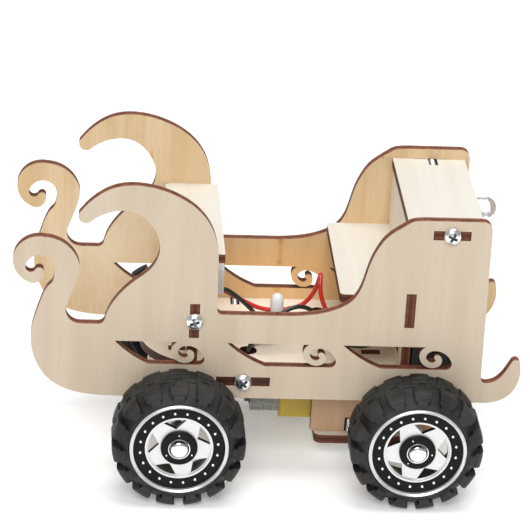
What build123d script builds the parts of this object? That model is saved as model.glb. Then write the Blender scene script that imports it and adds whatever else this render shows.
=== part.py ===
from build123d import *
import math
import os

# A small electric car kit of laser-cut plywood boards, shaped like a sleigh on four rubber tyres.
# Millimetres. +X points to the rear of the car, +Z up, and Z = 0 is the ground under the tyres.
# The near, left-hand side panel is on the -Y side.

# ---- Driving dimensions ----
PLY = 3.0                    # every board
OUTER_HALF = 31.0            # centre plane to a side panel's outer face
INNER_HALF = OUTER_HALF - PLY
TAB_REACH = OUTER_HALF - 0.3  # tab ends sit just below the panel's face
SLOT_GAP = 0.2               # laser slot over the board that fits it

WHEEL_R = 21.5
TYRE_W = 18.0
WHEEL_OUT = 51.0             # centre plane to a hub cap's outer face
TYRE_OUT = 50.5
TYRE_IN = TYRE_OUT - TYRE_W
FRONT_X = -28.0
REAR_X = 48.4
AXLE_Z = WHEEL_R
AXLE_R = 1.5
RUN_GAP = 0.05               # radial clearance of a running fit

DECK_Z = 35.0                # underside of the deck
DECK_TOP = DECK_Z + PLY
BOTTOM_Z = 30.5              # lower edge of the side panels
WINDOW_Z = 42.2              # lower edge of the side windows
WINDOW_H = 8.0

BULKHEAD_X = -25.5
SHELF_Z = 77.0
SEAT_Z = 64.0
BACKREST_X = 43.4
ROOF_Z = 88.2
REAR_BOARD_X = 64.2

BRACKET_IN = 9.4             # inner face of the hanging brackets
BRACKET_OUT = BRACKET_IN + PLY
FLOOR_Z = 6.0
MOTOR_Z = 23.4               # motor shaft height
GEAR_MODULE = 0.5
LEAD_D = 1.5


# ---- Helpers ----
def xz(sketch, y_min, thickness=PLY):
    """A plate cut from a sketch drawn in X and Z, filling Y from y_min."""
    return extrude(Plane.XZ.offset(-(y_min + thickness)) * sketch, amount=thickness)


def yz(sketch, x_min, thickness=PLY):
    """A plate cut from a sketch drawn in Y and Z, filling X from x_min."""
    return extrude(Plane.YZ.offset(x_min) * sketch, amount=thickness)


def xy(sketch, z_min, thickness=PLY):
    """A plate cut from a sketch drawn in X and Y, filling Z from z_min."""
    return extrude(Plane.XY.offset(z_min) * sketch, amount=thickness)


def span(x_low, x_high, y_low, y_high):
    """A flat rectangle given by its limits."""
    middle = Pos((x_low + x_high) / 2, (y_low + y_high) / 2)
    return middle * Rectangle(x_high - x_low, y_high - y_low)


def box(x_low, x_high, y_low, y_high, z_low, z_high):
    """A block given by its limits."""
    centre = Pos((x_low + x_high) / 2, (y_low + y_high) / 2, (z_low + z_high) / 2)
    return centre * Box(x_high - x_low, y_high - y_low, z_high - z_low)


def along_y(x, z, radius, y_low, y_high):
    """A cylinder on a line parallel to Y."""
    return Plane(origin=(x, y_low, z), z_dir=(0, 1, 0)) * Cylinder(
        radius, y_high - y_low, align=(Align.CENTER, Align.CENTER, Align.MIN)
    )


def along_x(y, z, radius, x_low, x_high):
    """A cylinder on a line parallel to X."""
    return Plane(origin=(x_low, y, z), z_dir=(1, 0, 0)) * Cylinder(
        radius, x_high - x_low, align=(Align.CENTER, Align.CENTER, Align.MIN)
    )


def group(pieces):
    """Separate solids that share one node."""
    solids = [solid for piece in pieces for solid in piece.solids()]
    return Compound(children=solids)


def save(name, shape):
    export_step(shape, f"parts/{name}.step")


# ---- Screwed joints: two short tabs with a narrow slot between them that the screw cuts into ----
SCREW_R = 1.45
SCREW_L = 8.0
HEAD_R = 2.95
HEAD_H = 2.1
HEAD_EDGE = 0.9              # rounding of the head's rim
RECESS = (3.4, 0.7, 2.0)     # cross recess: length, width, twice its depth
SCREW_SLOT_W = 3.0
SLOT_END = 0.2               # slot beyond the screw's tip


def screw_slot(x, y, turn, depth):
    """The slot in a board for a screw; its mouth is at (x, y) and local -y leads into the board."""
    return Pos(x, y) * Rot(0, 0, turn) * Pos(0, -depth / 2) * Rectangle(SCREW_SLOT_W, depth)


def pan_screw(seat, outward):
    """An M3 pan-head screw whose head rests on the point seat."""
    head = extrude(Circle(HEAD_R), HEAD_H)
    head = fillet(head.faces().sort_by(Axis.Z)[-1].edges(), HEAD_EDGE)
    for turn in (0, 90):
        head -= Rot(0, 0, turn) * Pos(0, 0, HEAD_H) * Box(*RECESS)
    shank = extrude(Circle(SCREW_R), -SCREW_L)
    return Plane(origin=seat, z_dir=outward) * (head + shank)


# (x, z, slot length, upright) of each tab slot in a side panel.
TAB_SLOTS = {
    "bulkhead": (BULKHEAD_X + PLY / 2, 57.8, 12.0, True),
    "deck_front": (-7.5, DECK_Z + PLY / 2, 17.4, False),
    "deck_rear": (48.6, DECK_Z + PLY / 2, 17.4, False),
    "roof": (56.3, ROOF_Z + PLY / 2, 12.0, False),
    "backrest": (BACKREST_X + PLY / 2, 63.0, 12.0, True),
}
SCREWED = ("bulkhead", "deck_front", "roof")


# ---- Side panels ----
def panel_outline():
    """The sleigh outline: front scroll, crescent, low rail, cabin side and tail hook."""
    scroll = [
        Spline(
            (-46, BOTTOM_Z), (-57, 30.9), (-68.3, 34.7), (-75.0, 44.6), (-75.9, 52.5),
            (-73.8, 61.6), (-70.6, 69.2), (-68.8, 74.4),
            tangents=((-1, 0), (0, 1)),
        ),
        ThreePointArc((-68.8, 74.4), (-73.0, 79.7), (-77.9, 76.2)),
        ThreePointArc((-77.9, 76.2), (-76.8, 73.9), (-75.0, 74.4)),
        ThreePointArc((-75.0, 74.4), (-73.5, 75.4), (-72.3, 73.9)),
        ThreePointArc((-72.3, 73.9), (-73.1, 71.1), (-75.9, 69.9)),
        ThreePointArc((-75.9, 69.9), (-81.9, 76.9), (-72.2, 86.0)),
        ThreePointArc((-72.2, 86.0), (-64.3, 82.6), (-61.0, 76.5)),
        Spline((-61.0, 76.5), (-62.2, 70.0), (-65.0, 61.8), tangents=((0, -1), (-0.3, -1))),
    ]
    dip = [
        ThreePointArc((-65.0, 61.8), (-63.9, 57.8), (-60.0, 56.1)),
        Line((-60.0, 56.1), (-55.0, 56.1)),
        ThreePointArc((-55.0, 56.1), (-53.3, 56.6), (-52.5, 58.2)),
    ]
    crescent = [
        Spline(
            (-52.5, 58.2), (-48.4, 66.4), (-43.6, 71.4), (-38.6, 75.8), (-35.9, 82.5),
            (-38.2, 90.0), (-44.6, 95.2), (-51.0, 95.2), (-57.6, 91.8),
        ),
        ThreePointArc((-57.6, 91.8), (-61.2, 91.9), (-60.9, 95.2)),
        Spline(
            (-60.9, 95.2), (-56.0, 100.3), (-49.8, 103.6), (-42.6, 104.2), (-32.0, 101.4),
            (-24.4, 96.5), (-19.6, 90.0), (-17.4, 81.5), (-17.2, 75.0),
        ),
        Line((-17.2, 75.0), (-16.9, 61.9)),
        ThreePointArc((-16.9, 61.9), (-16.3, 60.7), (-15.0, 60.3)),
    ]
    cabin = [
        Line((-15.0, 60.3), (4.0, 60.3)),
        Spline(
            (4.0, 60.3), (14.0, 61.0), (21.4, 63.1), (26.4, 66.6), (29.2, 72.5),
            (31.0, 79.6), (33.2, 84.8), (36.6, 89.4), (41.0, 92.6), (49.0, 94.7),
            tangents=((1, 0), (1, 0)),
        ),
        Line((49.0, 94.7), (65.8, 94.7)),
        ThreePointArc((65.8, 94.7), (68.1, 93.8), (69.0, 91.6)),
        Line((69.0, 91.6), (69.6, 39.6)),
    ]
    tail = [
        ThreePointArc((69.6, 39.6), (70.2, 38.1), (71.8, 37.7)),
        Spline((71.8, 37.7), (75.0, 39.0), (77.6, 42.4), (79.2, 45.4)),
        ThreePointArc((79.2, 45.4), (80.9, 46.2), (82.0, 44.6)),
        Spline((82.0, 44.6), (81.8, 38.0), (79.0, 33.2), (74.6, 30.9), (70.0, BOTTOM_Z)),
        Line((70.0, BOTTOM_Z), (-46, BOTTOM_Z)),
    ]
    return make_face(scroll + dip + crescent + cabin + tail)


def window(tip_x, end_x, slope_x):
    """A leaf-shaped opening from tip_x to end_x with a small scroll hanging from its top."""
    top = WINDOW_Z + WINDOW_H

    def at(dx, dz):
        return (end_x + dx, WINDOW_Z + dz)

    edges = [
        Line((tip_x, top), at(-8.7, WINDOW_H)),
        Spline(at(-8.7, WINDOW_H), at(-10.6, 4.7), at(-8.9, 1.5), at(-6.0, 0.55),
               at(-3.5, 1.8), at(-3.4, 4.3), at(-4.9, 5.3)),
        ThreePointArc(at(-4.9, 5.3), at(-5.75, 4.6), at(-5.1, 3.5)),
        Spline(at(-5.1, 3.5), at(-6.4, 2.5), at(-8.4, 4.2), at(-7.4, 6.2), at(-5.2, 6.7),
               at(-2.2, 5.6), at(0, 2.6)),
        ThreePointArc(at(0, 2.6), at(-0.3, 0.7), at(-2.0, 0)),
        Line(at(-2.0, 0), (tip_x + slope_x, WINDOW_Z)),
        Spline((tip_x + slope_x, WINDOW_Z), (tip_x + slope_x * 0.52, WINDOW_Z + 3.0), (tip_x, top)),
    ]
    return make_face(edges)


def side_panel(y_min):
    face = panel_outline()
    face -= window(-49.2, -20.4, 11.0)
    face -= window(-13.2, 22.0, 12.5)
    face -= window(24.2, 59.6, 12.5)
    for x, z, length, upright in TAB_SLOTS.values():
        width = PLY + SLOT_GAP
        slot = Rectangle(width, length) if upright else Rectangle(length, width)
        face -= Pos(x, z) * slot
    return xz(face, y_min)


# ---- Boards between the panels ----
SLOT_PLAY = 0.15             # each end of a tab in its slot


def side_tabs(board, centre, length, screwed, along):
    """Adds tabs past both panels to a board sketch drawn with y or x as the car's width."""
    half = length / 2 - SLOT_PLAY
    depth = TAB_REACH - OUTER_HALF + SCREW_L + SLOT_END
    for side in (-1, 1):
        low, high = sorted((side * (INNER_HALF - 1), side * TAB_REACH))
        if along == "x":
            board += span(centre - half, centre + half, low, high)
            if screwed:
                board -= screw_slot(centre, side * TAB_REACH, 0 if side > 0 else 180, depth)
        else:
            board += span(low, high, centre - half, centre + half)
            if screwed:
                board -= screw_slot(side * TAB_REACH, centre, -90 if side > 0 else 90, depth)
    return board


NOSE_X = -18.0
NOSE_R = 22.3
DECK_END = 67.2
CABLE_HOLE = (-5.0, -11.5, 3.0)
SIDE_HOLE = (20.3, 19.5, 2.5)
BRACKET_TAB = (32.6, 38.6)
FRONT_TAB = (-31.0, -25.0)
REAR_TAB_Y = 15.0
SEAT_TAB_Y = 14.0
TAB_W = 8.0                  # blind tabs of the seat and the rear board


def deck_plate():
    nose = Pos(NOSE_X, 0) * Circle(NOSE_R)
    plate = nose + span(-16.3, DECK_END, -INNER_HALF, INNER_HALF)
    for key in ("deck_front", "deck_rear"):
        x, _, length, _ = TAB_SLOTS[key]
        plate = side_tabs(plate, x, length, key in SCREWED, "x")
    for x, y, radius in (CABLE_HOLE, SIDE_HOLE):
        plate -= Pos(x, y) * Circle(radius)
    for low, high in (BRACKET_TAB, FRONT_TAB):
        for side in (-1, 1):
            y_low, y_high = sorted((side * (BRACKET_IN - 0.1), side * (BRACKET_OUT + 0.1)))
            plate -= span(low - 0.1, high + 0.1, y_low, y_high)
    for side in (-1, 1):
        plate -= Pos(REAR_BOARD_X + PLY / 2, side * REAR_TAB_Y) * Rectangle(PLY + SLOT_GAP, TAB_W + SLOT_GAP)
    return xy(plate, DECK_Z)


SWITCH_Y = -9.0
SWITCH_Z = 64.4
SWITCH_W = 13.0              # body, along Y
SWITCH_H = 8.4               # body, along Z
NOTCH = (-20.0, -7.0, 42.0, 51.0)  # cable opening in the backrest: y, y, z, z


def front_bulkhead():
    board = span(-INNER_HALF, INNER_HALF, DECK_TOP, SHELF_Z)
    _, z, length, _ = TAB_SLOTS["bulkhead"]
    board = side_tabs(board, z, length, True, "y")
    board -= Pos(SWITCH_Y, SWITCH_Z) * Rectangle(SWITCH_W + 0.2, SWITCH_H + 0.2)
    return yz(board, BULKHEAD_X)


def front_shelf():
    plate = span(-32.7, -15.0, -INNER_HALF, INNER_HALF)
    plate = fillet(plate.vertices().group_by(Axis.X)[0], 2.0)
    return xy(plate, SHELF_Z)


def seat_plate():
    plate = span(22.4, BACKREST_X, -INNER_HALF, INNER_HALF)
    plate = fillet(plate.vertices().group_by(Axis.X)[0], 1.5)
    for side in (-1, 1):
        plate += Pos(BACKREST_X, side * SEAT_TAB_Y) * Rectangle(2 * PLY, TAB_W)
    return xy(plate, SEAT_Z)


def seat_backrest():
    board = span(-INNER_HALF, INNER_HALF, DECK_TOP, ROOF_Z)
    _, z, length, _ = TAB_SLOTS["backrest"]
    board = side_tabs(board, z, length, False, "y")
    for side in (-1, 1):
        board -= Pos(side * SEAT_TAB_Y, SEAT_Z + PLY / 2) * Rectangle(TAB_W + SLOT_GAP, PLY + SLOT_GAP)
    board -= span(*NOTCH)
    return yz(board, BACKREST_X)


def roof_plate():
    plate = span(43.0, 67.3, -INNER_HALF, INNER_HALF)
    x, _, length, _ = TAB_SLOTS["roof"]
    return xy(side_tabs(plate, x, length, True, "x"), ROOF_Z)


LAMP_Y = 6.0
LAMP_Z = 83.7
LAMP_R = 3.5


def rear_board():
    board = span(-INNER_HALF, INNER_HALF, DECK_TOP, ROOF_Z)
    for side in (-1, 1):
        board += Pos(side * REAR_TAB_Y, DECK_TOP) * Rectangle(TAB_W, 2 * PLY - 0.4)
    board -= Pos(LAMP_Y, LAMP_Z) * Circle(LAMP_R - 0.4)
    return yz(board, REAR_BOARD_X)


# ---- Hanging brackets under the deck ----
FLOOR_SCREW_X = 30.0
FLOOR_TAB = (52.0, 56.5)
BUSH_R = 2.6


def motor_bracket(y_min):
    plate = span(17.2, 59.0, FLOOR_Z + PLY, DECK_Z)
    plate += span(BRACKET_TAB[0], BRACKET_TAB[1], DECK_Z - 1, DECK_TOP - 0.2)
    plate += span(FLOOR_TAB[0], FLOOR_TAB[1], FLOOR_Z + 0.2, FLOOR_Z + PLY + 1)
    plate -= Pos(REAR_X, AXLE_Z) * Circle(BUSH_R)
    plate -= screw_slot(FLOOR_SCREW_X, FLOOR_Z + PLY, 180, SCREW_L - PLY + SLOT_END)
    return xz(plate, y_min)


def motor_bracket_floor():
    plate = fillet(span(18.4, 59.0, -15.4, 15.4).vertices(), 2.5)
    for side in (-1, 1):
        middle = side * (BRACKET_IN + PLY / 2)
        plate -= Pos(FLOOR_SCREW_X, middle) * Circle(SCREW_R + 0.1)
        centre_x = (FLOOR_TAB[0] + FLOOR_TAB[1]) / 2
        plate -= Pos(centre_x, middle) * Rectangle(4.7, PLY + 0.2)
    return xy(plate, FLOOR_Z)


def front_bracket(y_min):
    plate = span(-37.0, -19.0, 22.0, DECK_Z) + Pos(FRONT_X, 22.0) * Circle(7.5)
    plate += span(FRONT_TAB[0], FRONT_TAB[1], DECK_Z - 1, DECK_TOP - 0.2)
    plate -= Pos(FRONT_X, AXLE_Z) * Circle(BUSH_R)
    return xz(plate, y_min)


def axle_bush(x, side):
    """A flanged nylon bush pressed into a bracket from its outer side."""
    sleeve = along_y(x, AXLE_Z, BUSH_R, BRACKET_IN, BRACKET_OUT)
    flange = along_y(x, AXLE_Z, BUSH_R + 1.2, BRACKET_OUT, BRACKET_OUT + 1.2)
    bush = sleeve + flange - along_y(x, AXLE_Z, AXLE_R + RUN_GAP, 0, 2 * BRACKET_OUT)
    return bush if side > 0 else mirror(bush, Plane.XZ)


# ---- Screws ----
def joint_screws():
    screws = []
    for key in SCREWED:
        x, z, _, _ = TAB_SLOTS[key]
        for side in (-1, 1):
            screws.append(pan_screw((x, side * OUTER_HALF, z), (0, side, 0)))
    for side in (-1, 1):
        seat = (FLOOR_SCREW_X, side * (BRACKET_IN + PLY / 2), FLOOR_Z)
        screws.append(pan_screw(seat, (0, 0, -1)))
    return group(screws)


# ---- Wheels ----
RIM_R = 15.8
RIVET_RING = 12.5
STAR_R = 10.6
HUB_R = 3.0
SPOKES = 5
FRONT_PHASE = 28.0           # angle of one star cut-out on each near wheel, degrees
REAR_PHASE = 7.0


def wheel_plane(x, side):
    """Local Z runs outward along the axle, and Z = 0 is the hub cap's outer face."""
    return Plane(origin=(x, side * WHEEL_OUT, AXLE_Z), x_dir=(1, 0, 0), z_dir=(0, side, 0))


def star_hole(angle):
    """One triangular cut-out between two spokes, its base on the inner ring."""
    corners = [(6.5, 0), (9.2, 3.7), (9.92, 0), (9.2, -3.7)]
    base = ThreePointArc(corners[1], corners[2], corners[3])
    sides = Polyline(corners[3], corners[0], corners[1])
    hole = make_face([base, sides])
    return Rot(0, 0, angle) * hole


def wheel_rim(x, side, phase):
    """The plated rim: outer lip, barrel, five-pointed star face and hub."""
    profile = make_face(
        Polyline(
            (AXLE_R, -15.0), (HUB_R, -15.0), (HUB_R, -4.4), (14.3, -4.4), (14.3, -17.0),
            (15.2, -17.0), (15.2, -2.0), (RIM_R, -2.0), (RIM_R, -0.9), (15.3, -0.5),
            (14.7, -0.9), (14.7, -2.6), (10.9, -2.6), (10.9, -1.9), (10.3, -1.9),
            (10.3, -2.7), (AXLE_R, -2.7), close=True,
        )
    )
    body = revolve(Plane.XZ * profile, Axis.Z)
    for index in range(SPOKES):
        body -= extrude(Pos(0, 0, -6.0) * star_hole(phase + 72 * index), 4.5)
    return wheel_plane(x, side) * body


def wheel_trim(x, side):
    """Black enamel ring and black centre disc, two separate inlays."""
    ring = extrude(Pos(0, 0, -2.6) * (Circle(14.7) - Circle(10.9)), 0.7)
    disc = extrude(Pos(0, 0, -2.7) * (Circle(5.9) - Circle(2.9)), 1.3)
    disc = fillet(disc.faces().sort_by(Axis.Z)[-1].edges().sort_by(SortBy.LENGTH)[-1], 0.5)
    return [wheel_plane(x, side) * ring, wheel_plane(x, side) * disc]


def wheel_rivets(x, side, phase):
    """Twenty small studs on the black ring."""
    stud = extrude(Circle(0.5), 0.5)
    studs = []
    for index in range(20):
        place = Rot(0, 0, phase + 18 * index) * Pos(RIVET_RING, 0, -1.9)
        studs.append(wheel_plane(x, side) * place * stud)
    return studs


def hub_cap(x, side):
    cap = extrude(Pos(0, 0, -2.7) * Circle(2.8), 2.7)
    cap = fillet(cap.faces().sort_by(Axis.Z)[-1].edges(), 0.8)
    return wheel_plane(x, side) * cap


def tyre(x, side):
    """A ring of solid rubber; its block tread stays inside this envelope."""
    low = -(WHEEL_OUT - TYRE_IN)
    high = -(WHEEL_OUT - TYRE_OUT)
    profile = make_face(
        [
            Line((15.25, low + 1.0), (15.25, -2.05)),
            Line((15.25, -2.05), (15.85, -2.05)),
            Line((15.85, -2.05), (15.85, -1.2)),
            Spline((15.85, -1.2), (17.6, high), (20.0, high - 1.2), (21.1, high - 2.6)),
            ThreePointArc((21.1, high - 2.6), (21.4, high - 3.2), (WHEEL_R, high - 4.0)),
            Line((WHEEL_R, high - 4.0), (WHEEL_R, low + 4.0)),
            ThreePointArc((WHEEL_R, low + 4.0), (21.4, low + 3.2), (21.1, low + 2.6)),
            Spline((21.1, low + 2.6), (20.0, low + 1.2), (17.6, low), (15.25, low + 1.0)),
        ]
    )
    return wheel_plane(x, side) * revolve(Plane.XZ * profile, Axis.Z)


def axle(x):
    reach = WHEEL_OUT - 2.8
    return along_y(x, AXLE_Z, AXLE_R, -reach, reach)


# ---- Gears ----
PRESSURE = math.radians(20)
PINION_TEETH = 8
CROWN_TEETH = 32
FIRST_PINION = 10
IDLER_TEETH = 26
SECOND_PINION = 9
OUTPUT_TEETH = 30
CROWN_X = 30.9
GEAR_PIN_R = 0.75


def involute(angle):
    return math.tan(angle) - angle


def gear_face(teeth, phase, bore):
    """An involute gear outline with thin teeth for easy running; one tooth points at phase."""
    pitch_r = teeth * GEAR_MODULE / 2
    base_r = pitch_r * math.cos(PRESSURE)
    tip_r = pitch_r + 0.85 * GEAR_MODULE
    root_r = pitch_r - 1.2 * GEAR_MODULE
    half = 0.42 * math.pi * GEAR_MODULE / 2 / pitch_r
    steps = [max(root_r, base_r) + (tip_r - max(root_r, base_r)) * k / 3 for k in range(4)]

    def flank(radius):
        bend = involute(math.acos(min(1.0, base_r / radius)))
        return half + involute(PRESSURE) - bend

    face = Circle(root_r + 0.02)
    for index in range(teeth):
        middle = math.radians(phase) + 2 * math.pi * index / teeth
        rising = [(root_r - 0.1, flank(steps[0]))] + [(r, flank(r)) for r in steps]
        points = [(r * math.cos(middle + a), r * math.sin(middle + a)) for r, a in rising]
        points += [
            (r * math.cos(middle - a), r * math.sin(middle - a)) for r, a in reversed(rising)
        ]
        face += make_face(Polyline(*points, close=True))
    return face - Circle(bore)


def bearing(start, end):
    """Direction from one (x, z) point to another, degrees."""
    return math.degrees(math.atan2(end[1] - start[1], end[0] - start[0]))


def meshed_centre(start, end, first, second):
    """The point at distance first from start and second from end, on the upper side."""
    gap = math.dist(start, end)
    along = (gap**2 + first**2 - second**2) / (2 * gap)
    rise = math.sqrt(first**2 - along**2)
    ux, uz = (end[0] - start[0]) / gap, (end[1] - start[1]) / gap
    return (start[0] + along * ux - rise * uz, start[1] + along * uz + rise * ux)


CROWN_C = (CROWN_X, MOTOR_Z)
OUTPUT_C = (REAR_X, AXLE_Z)
IDLER_C = meshed_centre(
    CROWN_C,
    OUTPUT_C,
    (FIRST_PINION + IDLER_TEETH) * GEAR_MODULE / 2,
    (SECOND_PINION + OUTPUT_TEETH) * GEAR_MODULE / 2,
)
CROWN_FACE_Y = -3.2          # face that carries the crown teeth
CROWN_TIP_Y = -1.75
TRAIN_Y1 = (0.5, 3.0)        # first spur pair
TRAIN_Y2 = (3.9, 6.6)        # second spur pair


def spur(teeth, centre, phase, bore, y_low, y_high):
    face = Pos(*centre) * gear_face(teeth, phase, bore)
    return xz(face, y_low, y_high - y_low)


def crown_gear():
    """The face gear that the motor pinion drives, moulded with the first spur pinion."""
    radius = CROWN_TEETH * GEAR_MODULE / 2
    disc = along_y(*CROWN_C, radius, -5.4, CROWN_FACE_Y)
    flank = Polyline(
        (CROWN_FACE_Y - 0.1, -0.42), (CROWN_TIP_Y, -0.16), (CROWN_TIP_Y, 0.16),
        (CROWN_FACE_Y - 0.1, 0.42), close=True,
    )
    tooth = extrude(Plane.YZ.offset(radius - 1.6) * make_face(flank), 1.55)
    for index in range(CROWN_TEETH):
        turn = 360 * index / CROWN_TEETH + 180 / CROWN_TEETH
        disc += Pos(CROWN_C[0], 0, CROWN_C[1]) * Rot(0, turn, 0) * tooth
    disc += along_y(*CROWN_C, FIRST_PINION * GEAR_MODULE / 2 - 0.6, CROWN_FACE_Y, TRAIN_Y1[0])
    disc += spur(FIRST_PINION, CROWN_C, bearing(CROWN_C, IDLER_C), 0.4, *TRAIN_Y1)
    return disc - along_y(*CROWN_C, GEAR_PIN_R + RUN_GAP, -8, 8)


def idler_gear():
    half_pitch = 180 / IDLER_TEETH
    wide = spur(
        IDLER_TEETH, IDLER_C, bearing(IDLER_C, CROWN_C) + half_pitch, 0.4, *TRAIN_Y1
    )
    small = spur(
        SECOND_PINION, IDLER_C, bearing(IDLER_C, OUTPUT_C), 0.4, TRAIN_Y1[1], TRAIN_Y2[1]
    )
    return wide + small - along_y(*IDLER_C, GEAR_PIN_R + RUN_GAP, -8, 8)


def output_gear():
    half_pitch = 180 / OUTPUT_TEETH
    phase = bearing(OUTPUT_C, IDLER_C) + half_pitch
    wheel = spur(OUTPUT_TEETH, OUTPUT_C, phase, AXLE_R, *TRAIN_Y2)
    boss = along_y(*OUTPUT_C, 2.6, 0.0, TRAIN_Y2[0]) - along_y(*OUTPUT_C, AXLE_R, -1, 8)
    return wheel + boss


def gear_pins():
    return group(
        [
            along_y(*CROWN_C, GEAR_PIN_R, -8.4, 8.4),
            along_y(*IDLER_C, GEAR_PIN_R, -8.4, 8.4),
        ]
    )


# ---- Motor and gearbox case ----
CASE_Y = 9.3
CASE_X = (6.6, 59.2)
CASE_Z = (12.1, 34.6)
CAN_X = (-2.6, 18.4)
CAN_R = 10.0
CAN_FLAT = 7.5
SHAFT_R = 1.0
PINION_X = (21.2, 24.6)
SHELL_SCREW_R = 1.0
SHELL_SCREWS = ((57.0, 14.6), (57.0, 32.2), (21.6, 14.3), (21.6, 32.4))


def can_section(radius, flat):
    """Section of the motor can: round with two flats that face the brackets."""
    return Circle(radius) & Rectangle(2 * flat, 2 * radius + 2)


def along_motor(section, x_low, x_high):
    """A prism on the motor's shaft line from a section drawn in Y and Z."""
    return extrude(Plane.YZ.offset(x_low) * Pos(0, MOTOR_Z) * section, x_high - x_low)


def gearbox_shell(side):
    """One half of the yellow case, split on the centre plane."""
    low, high = sorted((0.0, side * CASE_Y))
    shell = box(CASE_X[0], CASE_X[1], low, high, CASE_Z[0], CASE_Z[1])
    outside = shell.faces().sort_by(Axis.Y)[0 if side < 0 else -1]
    shell = fillet(outside.edges(), 0.8)
    shell -= along_motor(can_section(CAN_R + 0.1, CAN_FLAT + 0.1), CASE_X[0] - 1, CAN_X[1] + 0.1)
    shell -= along_motor(Circle(3.4), CAN_X[1], CROWN_X)
    shell -= along_y(*CROWN_C, 8.5, -6.0, 3.3)
    shell -= along_y(*IDLER_C, 7.2, 0.1, 3.4)
    shell -= along_y(*IDLER_C, 3.2, 0.1, 7.1)
    shell -= along_y(*OUTPUT_C, 8.4, 3.4, 7.1)
    shell -= along_y(*OUTPUT_C, 3.0, -0.5, 3.5)
    for centre in (CROWN_C, IDLER_C):
        shell -= along_y(*centre, GEAR_PIN_R, -8.4, 8.4)
    shell -= along_y(*OUTPUT_C, AXLE_R + RUN_GAP, -10, 10)
    for x, z in SHELL_SCREWS:
        shell -= along_y(x, z, SHELL_SCREW_R, -9.4, 6.4)
        shell -= along_y(x, z, 2.0, -9.4, -8.2)
    return shell


def gearbox_screws():
    """Self-tapping screws sunk in the left half of the case."""
    screws = []
    for x, z in SHELL_SCREWS:
        screw = along_y(x, z, 1.8, -9.25, -8.2) + along_y(x, z, SHELL_SCREW_R, -8.2, 6.0)
        screw -= box(x - 1.2, x + 1.2, -9.5, -8.8, z - 0.2, z + 0.2)
        screws.append(screw)
    return group(screws)


def motor_can():
    can = along_motor(can_section(CAN_R, CAN_FLAT), *CAN_X)
    can -= along_motor(can_section(CAN_R - 0.6, CAN_FLAT - 0.6), CAN_X[0] - 1, CAN_X[1] - 0.6)
    return can - along_x(0, MOTOR_Z, SHAFT_R + RUN_GAP, 0, 30)


def motor_end_cap():
    cap = along_motor(can_section(CAN_R - 0.8, CAN_FLAT - 0.6), CAN_X[0] - 2.0, CAN_X[0] + 1.5)
    cap += along_x(0, MOTOR_Z, 3.0, CAN_X[0] - 3.4, CAN_X[0] - 2.0)
    for side in (-1, 1):
        low, high = sorted((side * 5.9, side * 7.9))
        cap -= box(CAN_X[0] - 3, CAN_X[0] + 2, -1.6, 1.6, MOTOR_Z + low, MOTOR_Z + high)
    return cap - along_x(0, MOTOR_Z, SHAFT_R + RUN_GAP, -10, 10)


STRAP_SIZE = (17.0, 20.8)
STRAP_X = CAN_X[0] - 0.4


def motor_strap():
    """A clear moulded collar that hugs the exposed part of the can."""
    section = RectangleRounded(*STRAP_SIZE, 3.0)
    section -= can_section(CAN_R + 0.05, CAN_FLAT + 0.05)
    return along_motor(section, STRAP_X, CASE_X[0])


TERMINAL_X = -5.6            # outer end of the motor's two lugs


def motor_terminals():
    """Two bent brass lugs in the end cap; each has a tail that a lead is soldered to."""
    lugs = []
    for side in (-1, 1):
        low, high = sorted((side * 6.0, side * 6.5))
        blade = box(TERMINAL_X, CAN_X[0] + 1.0, -1.4, 1.4, MOTOR_Z + low, MOTOR_Z + high)
        tail_low, tail_high = sorted((side * 6.0, side * 9.0))
        tail = box(TERMINAL_X, TERMINAL_X + 0.5, -1.4, 1.4, MOTOR_Z + tail_low, MOTOR_Z + tail_high)
        lugs.append(blade + tail)
    return group(lugs)


def motor_magnets():
    """Two curved magnets inside the can, above and below the armature."""
    ring = Circle(CAN_R - 0.65) - Circle(7.4)
    ring &= Rectangle(9.0, 30.0)
    return group([along_motor(ring, 1.5, 16.5)])


def motor_armature():
    shaft = along_x(0, MOTOR_Z, SHAFT_R, CAN_X[0] - 3.0, PINION_X[1])
    poles = Circle(6.6)
    for index in range(3):
        poles -= Rot(0, 0, 60 + 120 * index) * Pos(5.4, 0) * Rectangle(4.0, 2.6)
    core = along_motor(poles, 3.0, 15.0)
    drum = along_x(0, MOTOR_Z, 2.6, -0.8, 3.0)
    return shaft + core + drum


def motor_pinion():
    face = gear_face(PINION_TEETH, 90.0, SHAFT_R)
    return along_motor(face, *PINION_X)


# ---- Batteries, switch and lamp ----
BATTERY_X = (47.0, 63.0)
BATTERY_Z = (DECK_TOP, 70.5)
CELL_R = 7.1
CELL_Y = (-24.6, 25.9)       # nickel-plated ends included


def battery_centres():
    middle = (BATTERY_X[0] + BATTERY_X[1]) / 2 + 0.4
    return [(middle, 46.2), (middle, 62.2)]


def battery_box():
    """An open-backed black tray for two cells, one above the other, across the car."""
    tray = box(*BATTERY_X, -INNER_HALF + 0.1, INNER_HALF - 0.1, *BATTERY_Z)
    tray -= box(BATTERY_X[0] + 1.2, BATTERY_X[1] + 1, -26.6, 26.6, 39.0, 69.5)
    for _, z in battery_centres():
        tray += box(BATTERY_X[0] + 1, 49.5, -18.0, -14.0, z - 7.0, z - 5.6)
    tray += box(BATTERY_X[0] + 1, 58.0, -26.6, 26.6, 53.9, 54.5)
    return tray


def battery_cells():
    cells = []
    for index, (x, z) in enumerate(battery_centres()):
        low, high = CELL_Y if index == 0 else (-CELL_Y[1], -CELL_Y[0])
        cells.append(along_y(x, z, CELL_R, low + 1.0, high - 1.0))
        nub_low, nub_high = (high - 1.0, high) if index == 0 else (low, low + 1.0)
        cells[-1] += along_y(x, z, 2.7, nub_low, nub_high)
    return group(cells)


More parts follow.
